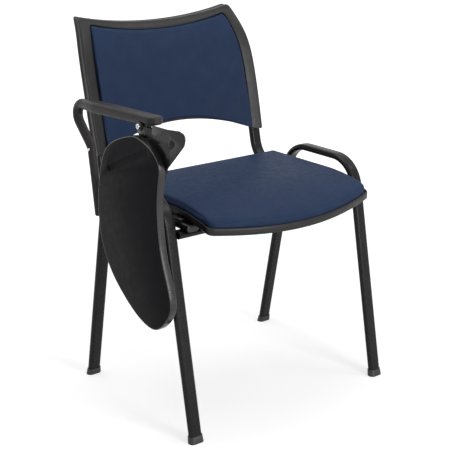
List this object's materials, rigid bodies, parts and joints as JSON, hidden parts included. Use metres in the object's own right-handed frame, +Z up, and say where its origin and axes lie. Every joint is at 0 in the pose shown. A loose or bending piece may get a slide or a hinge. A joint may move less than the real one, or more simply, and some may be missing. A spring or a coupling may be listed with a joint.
{
  "type": "student desk chair",
  "caption": "Four-legged school chair with bent oval-tube side frames, padded plastic seat and back, and a writing tablet that folds and swings beside one arm.",
  "frame": {"origin": "on the floor under the centre of the object's bounding box", "axes": "+Z up; the sitter faces -Y; the sitter's left hand is at +X and the tablet arm is on the -X side"},
  "size_m": [0.5995, 0.57, 0.8238],
  "materials": {
    "frame_paint": "satin black epoxy powder coat",
    "shell_plastic": "fine-textured black polypropylene",
    "foot_plastic": "black polyethylene",
    "vinyl": "navy blue vinyl with a fine grain",
    "pad_board": "plywood, hidden under the pads",
    "arm_plastic": "black self-skinned foam, satin",
    "zinc_steel": "bright zinc plate",
    "black_steel": "gloss black",
    "tablet_laminate": "matt black laminate on board",
    "tablet_edge": "satin black edge band",
    "bush_plastic": "black nylon"
  },
  "bodies": {
    "chair": {"side_frame_left": "frame_paint", "side_frame_right": "frame_paint", "front_cross_tube": "frame_paint", "rear_cross_tube": "frame_paint", "foot_cap_front_left": "foot_plastic", "foot_cap_front_right": "foot_plastic", "foot_cap_rear_left": "foot_plastic", "foot_cap_rear_right": "foot_plastic", "back_upright_left": "frame_paint", "back_upright_right": "frame_paint", "back_screws": "zinc_steel", "seat_shell": "shell_plastic", "seat_board": "pad_board", "seat_cushion": "vinyl", "seat_clips": "shell_plastic", "seat_screws": "zinc_steel", "back_shell": "shell_plastic", "back_board": "pad_board", "back_cushion": "vinyl", "arm_cover": "arm_plastic", "arm_core": "black_steel", "arm_screw": "zinc_steel", "arm_spacers": "black_steel", "arm_bolts": "zinc_steel", "hinge_bracket": "black_steel", "bracket_bolt": "zinc_steel", "bracket_washer": "black_steel", "bracket_nut": "zinc_steel", "hinge_pin": "zinc_steel"},
    "hinge_leaf": {"hinge_leaf": "black_steel", "pivot_bolt": "black_steel", "friction_washer": "bush_plastic", "pivot_washer": "zinc_steel", "pivot_nut": "zinc_steel"},
    "tablet": {"tablet_plate": "black_steel", "tablet_board": "tablet_laminate", "tablet_edge_band": "tablet_edge", "tablet_screws": "zinc_steel"}
  },
  "joints": [
    {"name": "tablet_fold", "type": "hinge", "parent": "chair", "child": "hinge_leaf", "pos_m": [-0.27575, -0.21125, 0.656], "axis": [0, 1, 0], "range_deg": [0, 90]},
    {"name": "tablet_swing", "type": "hinge", "parent": "hinge_leaf", "child": "tablet", "pos_m": [-0.28325, -0.237, 0.642], "axis": [-1, 0, 0], "range_deg": [0, 180]}
  ]
}
